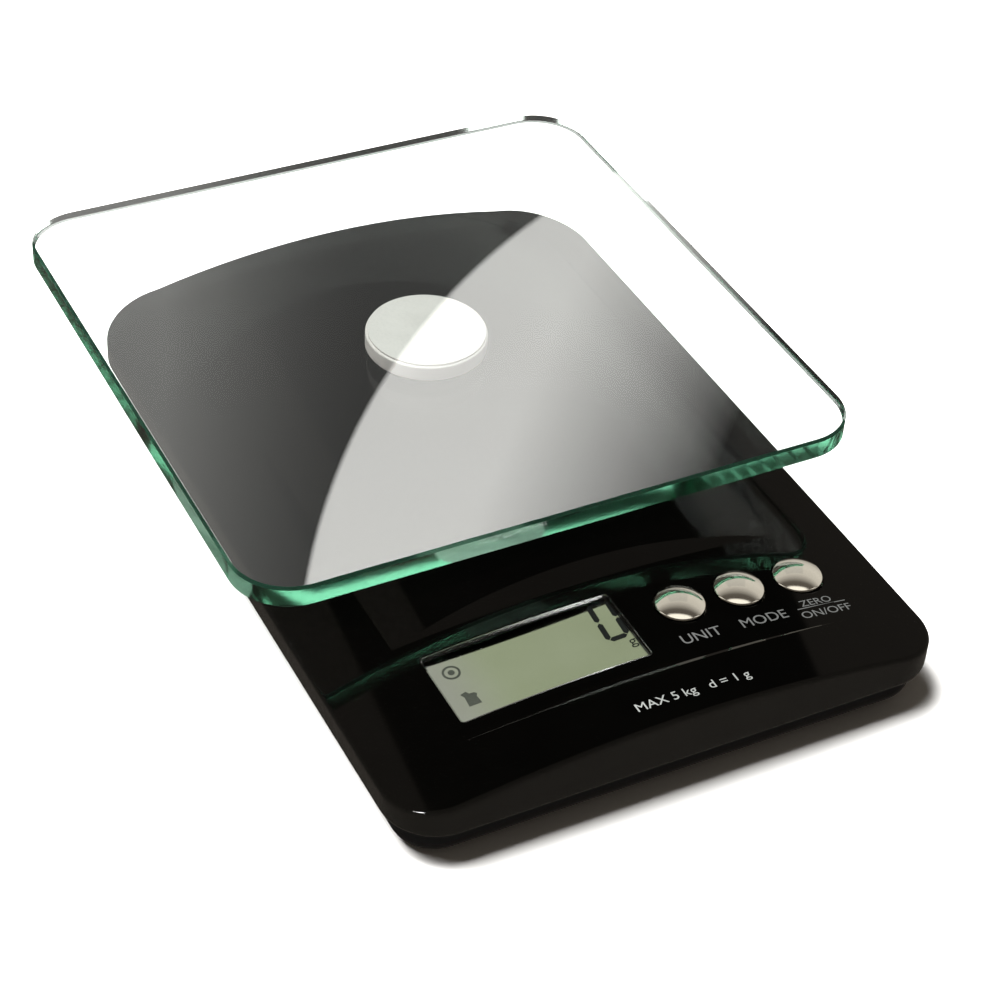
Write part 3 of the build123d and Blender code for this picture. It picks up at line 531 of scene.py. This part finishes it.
# The jug's outline, in millimetres from its own middle.
jug = [(-1.7, 1.9), (-0.3, 2.3), (0.1, 1.5), (1.2, 1.4), (1.7, 0.9), (1.3, 0.3), (1.5, -1.9),
       (-1.4, -1.9), (-1.2, 0.9)]
jug_x, jug_y = -16.8 * MM, -3.4 * MM
jug_outline = [(jug_x + x * MM, jug_y + y * MM) for x, y in jug]
flat_shape("display_jug_icon", [jug_outline], on_display, icon_dark)


# ---- floor, world and lights ----------------------------------------------------

def square_mesh(name, half):
    """A flat square around its own origin, facing up."""
    mesh = bpy.data.meshes.new(name)
    corners = [(-half, -half, 0), (half, -half, 0), (half, half, 0), (-half, half, 0)]
    mesh.from_pydata(corners, [], [(0, 1, 2, 3)])
    return mesh


def make_floor():
    """A plain pale floor. Gloss on the scale mirrors the dim room instead of it."""
    mesh = square_mesh("floor", half=4.0)
    material, _, shader = new_material("floor_white")
    shader.inputs["Base Color"].default_value = (0.84, 0.83, 0.81, 1)
    shader.inputs["Roughness"].default_value = 1
    shader.inputs["Specular IOR Level"].default_value = 0
    mesh.materials.append(material)
    floor = bpy.data.objects.new("floor", mesh)
    floor.visible_glossy = False
    scene.collection.objects.link(floor)


def make_world():
    """A dim warm room that looks white where the camera sees it directly."""
    world = bpy.data.worlds.new("studio")
    scene.world = world
    world.use_nodes = True
    tree = world.node_tree
    path = tree.nodes.new("ShaderNodeLightPath")
    room = mix_colours(tree, path.outputs["Is Camera Ray"], (0.105, 0.092, 0.078, 1), (1, 1, 1, 1))
    tree.links.new(room, tree.nodes["Background"].inputs["Color"])


def group_of(name, names):
    """A collection of objects for light linking."""
    group = bpy.data.collections.new(name)
    for own in names:
        group.objects.link(bpy.data.objects[own])
    return group


def area_light(name, azimuth, elevation, distance, size, power, receivers=(), without=()):
    """A square lamp aimed at the origin, from a compass direction and a height in degrees. It lights
    only its receivers, or everything but the pieces it is without."""
    data = bpy.data.lights.new(name, "AREA")
    data.shape = "SQUARE"
    data.size = size
    data.energy = power
    lamp = bpy.data.objects.new(name, data)
    turn = radians(azimuth)
    rise = radians(elevation)
    out = Vector((sin(turn) * cos(rise), cos(turn) * cos(rise), sin(rise)))
    lamp.location = out * distance
    lamp.rotation_euler = out.to_track_quat("Z", "Y").to_euler()
    lamp.visible_camera = False
    scene.collection.objects.link(lamp)
    lamp.light_linking.receiver_collection = group_of(name + "_receivers", receivers or without)
    if without:
        for entry in lamp.light_linking.receiver_collection.collection_objects:
            entry.light_linking.link_state = "EXCLUDE"


def glass_card():
    """A softbox that only the glass mirrors, where the camera sees its reflection: a bright round
    field with an edge to the left and a soft end to the right, and a grey gradient beside it."""
    distance = 2.2
    view = camera.matrix_world
    flip = Matrix.Scale(-1, 3, Vector((0, 0, 1)))
    right = flip @ (view.to_3x3() @ Vector((1, 0, 0)))
    up = flip @ (view.to_3x3() @ Vector((0, 1, 0)))
    ahead = flip @ (view.to_3x3() @ Vector((0, 0, -1)))
    eye = view.translation.copy()
    eye.z = 2 * glass_high.z - eye.z
    mesh = square_mesh("glass_card", half=0.5)
    card = bpy.data.objects.new("glass_card", mesh)
    turn = Matrix((right, up, right.cross(up))).transposed().to_4x4()
    card.matrix_world = Matrix.Translation(eye + ahead * distance) @ turn
    card.visible_camera = False
    scene.collection.objects.link(card)

    material, tree, shader = new_material("glass_card")
    tree.nodes.remove(shader)
    where = place(tree)
    across = axis_of(tree, where, "X")
    upward = axis_of(tree, where, "Y")

    field_middle, field_radius, field_blur = (0.324, -0.161, 0), 0.503, 0.005
    field = tree.nodes.new("ShaderNodeVectorMath")
    field.operation = "DISTANCE"
    tree.links.new(where, field.inputs[0])
    field.inputs[1].default_value = field_middle
    inside = rescale(tree, field.outputs["Value"], field_radius, field_radius + field_blur, 1.0, 0.0)

    fade_start, fade_end, fade_tilt = -0.015, 0.183, -0.42
    brightest, dimmest = 8.3, 0.2
    fading = math(tree, "ADD", across, math(tree, "MULTIPLY", upward, fade_tilt))
    fade = rescale(tree, fading, fade_start, fade_end, brightest, dimmest)
    middle_level, upward_slope = 1.14, -1.35
    falling = math(tree, "ADD", middle_level, math(tree, "MULTIPLY", upward, upward_slope))
    bright = math(tree, "MULTIPLY", fade, falling)

    grey_start, grey_end = -0.099, -0.301
    grey_least, grey_most = 0.55, 2.3
    beside = math(tree, "POWER", rescale(tree, across, grey_start, grey_end), 2.0)
    grey = rescale(tree, beside, 0.0, 1.0, grey_least, grey_most)

    outside = math(tree, "SUBTRACT", 1.0, inside)
    strength = math(tree, "ADD", math(tree, "MULTIPLY", inside, bright),
                    math(tree, "MULTIPLY", outside, grey))
    first_bounce = 1.5
    path = tree.nodes.new("ShaderNodeLightPath")
    direct = math(tree, "LESS_THAN", path.outputs["Ray Depth"], first_bounce)
    emission = tree.nodes.new("ShaderNodeEmission")
    emission.inputs["Color"].default_value = (1, 1, 0.96, 1)
    tree.links.new(math(tree, "MULTIPLY", strength, direct), emission.inputs["Strength"])
    tree.links.new(emission.outputs[0], tree.nodes["Material Output"].inputs["Surface"])
    mesh.materials.append(material)
    card.light_linking.receiver_collection = group_of("glass_card_receivers", ["glass_plate"])


def sphere_mesh(name, radius, rings, sides):
    """A round shell around its own origin, from its lowest point to its highest."""
    points = [(0, 0, -radius)]
    for ring in range(1, rings):
        rise = pi * (ring / rings - 0.5)
        reach, height = radius * cos(rise), radius * sin(rise)
        turns = [2 * pi * i / sides for i in range(sides)]
        points += [(reach * cos(turn), reach * sin(turn), height) for turn in turns]
    points.append((0, 0, radius))
    top = len(points) - 1
    faces = []
    for i in range(sides):
        j = (i + 1) % sides
        faces.append((0, 1 + j, 1 + i))
        for ring in range(rings - 2):
            low = 1 + ring * sides
            faces.append((low + i, low + j, low + sides + j, low + sides + i))
        faces.append((top, top - sides + i, top - sides + j))
    mesh = bpy.data.meshes.new(name)
    mesh.from_pydata(points, [], faces)
    return mesh


def button_tent():
    """A round tent around the buttons, lit in bands from the horizon behind them to the front."""
    mesh = sphere_mesh("button_tent", radius=0.5, rings=16, sides=32)
    tent = bpy.data.objects.new("button_tent", mesh)
    tent.location = button_centre("mode")
    tent.rotation_euler = (0, 0, camera_azimuth)
    tent.visible_camera = False
    tent.visible_shadow = False
    scene.collection.objects.link(tent)

    material, tree, shader = new_material("button_tent")
    tree.nodes.remove(shader)
    where = place(tree)
    over = math(tree, "ARCTAN2", axis_of(tree, where, "Z"), axis_of(tree, where, "Y"))
    bands = tree.nodes.new("ShaderNodeValToRGB")
    stops = bands.color_ramp.elements
    warm = (1, 0.97, 0.89)
    first, last = -60, 160
    # The brightness at each angle, in degrees up from the horizon behind the buttons.
    levels = ((-40, 0.05), (-16, 0.2), (-5, 0.4), (8, 0.62), (28, 0.7), (58, 0.6), (72, 0.3),
              (82, 0.03), (93, 0.0), (97, 1.3), (108, 1.3), (113, 0.0))
    for index, (angle, level) in enumerate(levels):
        spot = (angle - first) / (last - first)
        stop = stops[index] if index < 2 else stops.new(spot)
        stop.position = spot
        stop.color = (*(level * part for part in warm), 1)
    tree.links.new(rescale(tree, over, radians(first), radians(last)), bands.inputs[0])
    emission = tree.nodes.new("ShaderNodeEmission")
    tree.links.new(bands.outputs["Color"], emission.inputs["Color"])
    beyond = tree.nodes.new("ShaderNodeBsdfTransparent")
    both = tree.nodes.new("ShaderNodeAddShader")
    tree.links.new(emission.outputs[0], both.inputs[0])
    tree.links.new(beyond.outputs[0], both.inputs[1])
    tree.links.new(both.outputs[0], tree.nodes["Material Output"].inputs["Surface"])
    mesh.materials.append(material)
    tent.light_linking.receiver_collection = group_of("button_tent_receivers", button_names)


make_floor()
make_world()
own_lamps = button_names + ["top_cover", "lcd_glass", "display_window", "glass_plate"]
area_light("key", azimuth=-55, elevation=71, distance=1.7, size=0.8, power=43, without=own_lamps)
area_light("floor_key", azimuth=-78, elevation=68, distance=1.7, size=0.7, power=62,
           receivers=["floor"])
area_light("display_key", azimuth=-25, elevation=56, distance=1.7, size=0.12, power=62,
           receivers=["lcd_glass"])
area_light("window_front", azimuth=149, elevation=42, distance=1.5, size=0.3, power=3,
           receivers=["display_window"])
area_light("window_left", azimuth=-44, elevation=22, distance=1.5, size=0.3, power=1.2,
           receivers=["display_window"])
area_light("corner_light", azimuth=-110, elevation=50, distance=1.5, size=0.2, power=10,
           receivers=["top_cover"])
glass_card()
button_tent()

scene.view_settings.view_transform = "Standard"
scene.cycles.max_bounces = 28
scene.cycles.glossy_bounces = 24
scene.cycles.transmission_bounces = 24
scene.cycles.caustics_reflective = False
scene.cycles.caustics_refractive = False
